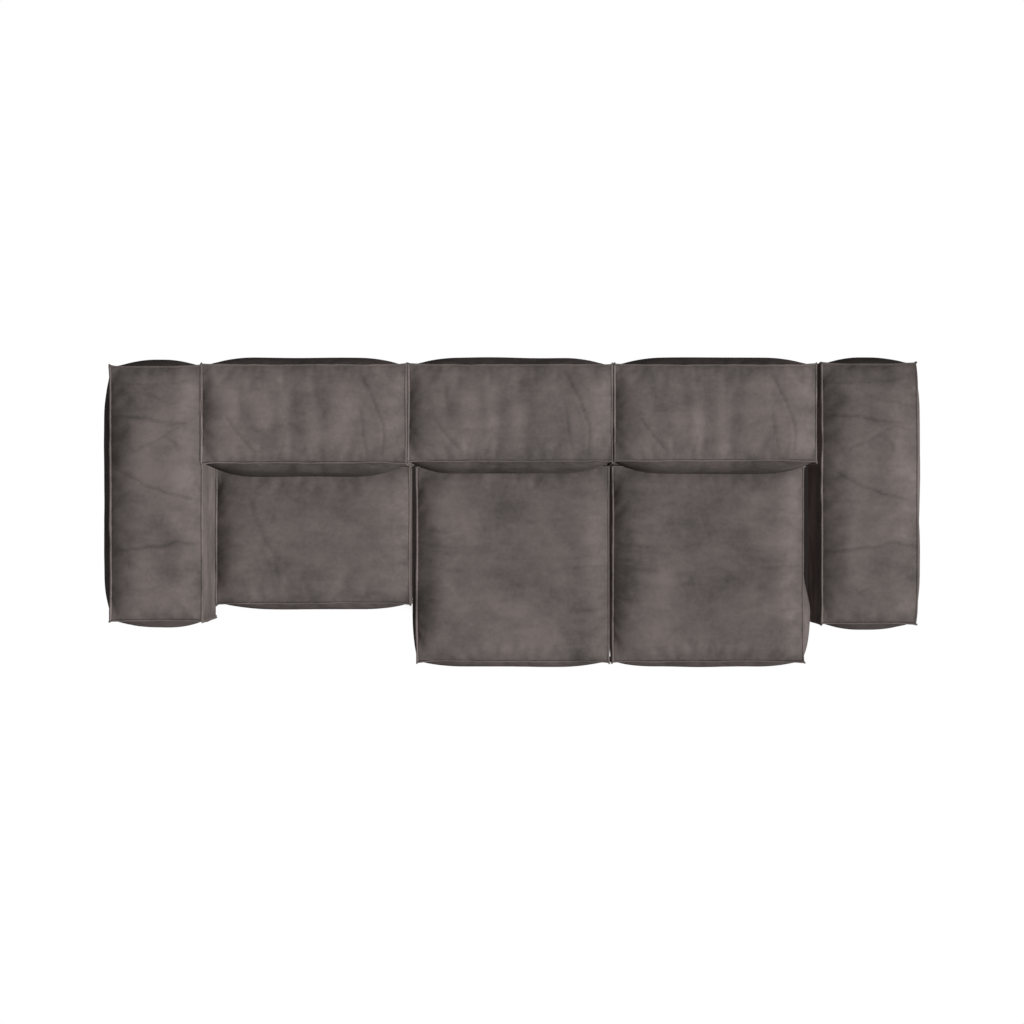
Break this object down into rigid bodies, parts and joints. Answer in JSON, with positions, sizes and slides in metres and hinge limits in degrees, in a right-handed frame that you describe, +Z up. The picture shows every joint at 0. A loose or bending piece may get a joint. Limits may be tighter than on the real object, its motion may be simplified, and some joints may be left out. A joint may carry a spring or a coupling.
{
  "type": "three-seater sofa",
  "caption": "Low modular sofa of soft leather blocks with flanged seams: wide arms, thick backs, and seats, one of them shorter, that pull forward off hidden tongues.",
  "frame": {"origin": "on the floor under the centre of the sofa's box in plan", "axes": "+X from the left arm to the right arm as seen from the front, +Y from the front to the rear, +Z up"},
  "size_m": [2.757, 1.0489, 0.68],
  "materials": {
    "leather": "matte",
    "foam": "matte",
    "plywood": "matte",
    "timber": "matte",
    "dust_cloth": "matte",
    "foot_plastic": "satin",
    "webbing": "matte",
    "steel": "satin"
  },
  "bodies": {
    "base": {"arm_left_cover": "leather", "arm_left_foam": "foam", "arm_left_panels": "plywood", "arm_left_frame": "timber", "arm_left_dust_cloth": "dust_cloth", "arm_left_feet": "foot_plastic", "arm_right_cover": "leather", "arm_right_foam": "foam", "arm_right_panels": "plywood", "arm_right_frame": "timber", "arm_right_dust_cloth": "dust_cloth", "arm_right_feet": "foot_plastic", "back_left_cover": "leather", "back_left_foam": "foam", "back_left_webbing": "webbing", "back_left_frame": "timber", "back_left_dust_cloth": "dust_cloth", "back_left_feet": "foot_plastic", "back_left_sockets": "steel", "back_middle_cover": "leather", "back_middle_foam": "foam", "back_middle_webbing": "webbing", "back_middle_frame": "timber", "back_middle_dust_cloth": "dust_cloth", "back_middle_feet": "foot_plastic", "back_middle_sockets": "steel", "back_right_cover": "leather", "back_right_foam": "foam", "back_right_webbing": "webbing", "back_right_frame": "timber", "back_right_dust_cloth": "dust_cloth", "back_right_feet": "foot_plastic", "back_right_sockets": "steel", "back_link_plates": "steel", "arm_link_plates": "steel"},
    "seat_left": {"seat_left_cover": "leather", "seat_left_foam": "foam", "seat_left_webbing": "webbing", "seat_left_frame": "timber", "seat_left_dust_cloth": "dust_cloth", "seat_left_feet": "foot_plastic", "seat_left_tongues": "steel"},
    "seat_middle": {"seat_middle_cover": "leather", "seat_middle_foam": "foam", "seat_middle_webbing": "webbing", "seat_middle_frame": "timber", "seat_middle_dust_cloth": "dust_cloth", "seat_middle_feet": "foot_plastic", "seat_middle_tongues": "steel"},
    "seat_right": {"seat_right_cover": "leather", "seat_right_foam": "foam", "seat_right_webbing": "webbing", "seat_right_frame": "timber", "seat_right_dust_cloth": "dust_cloth", "seat_right_feet": "foot_plastic", "seat_right_tongues": "steel"}
  },
  "joints": [
    {"name": "seat_left_pull", "type": "slide", "parent": "base", "child": "seat_left", "axis": [0, -1, 0], "range_m": [0, 0.13]},
    {"name": "seat_middle_pull", "type": "slide", "parent": "base", "child": "seat_middle", "axis": [0, -1, 0], "range_m": [0, 0.13]},
    {"name": "seat_right_pull", "type": "slide", "parent": "base", "child": "seat_right", "axis": [0, -1, 0], "range_m": [0, 0.13]}
  ]
}
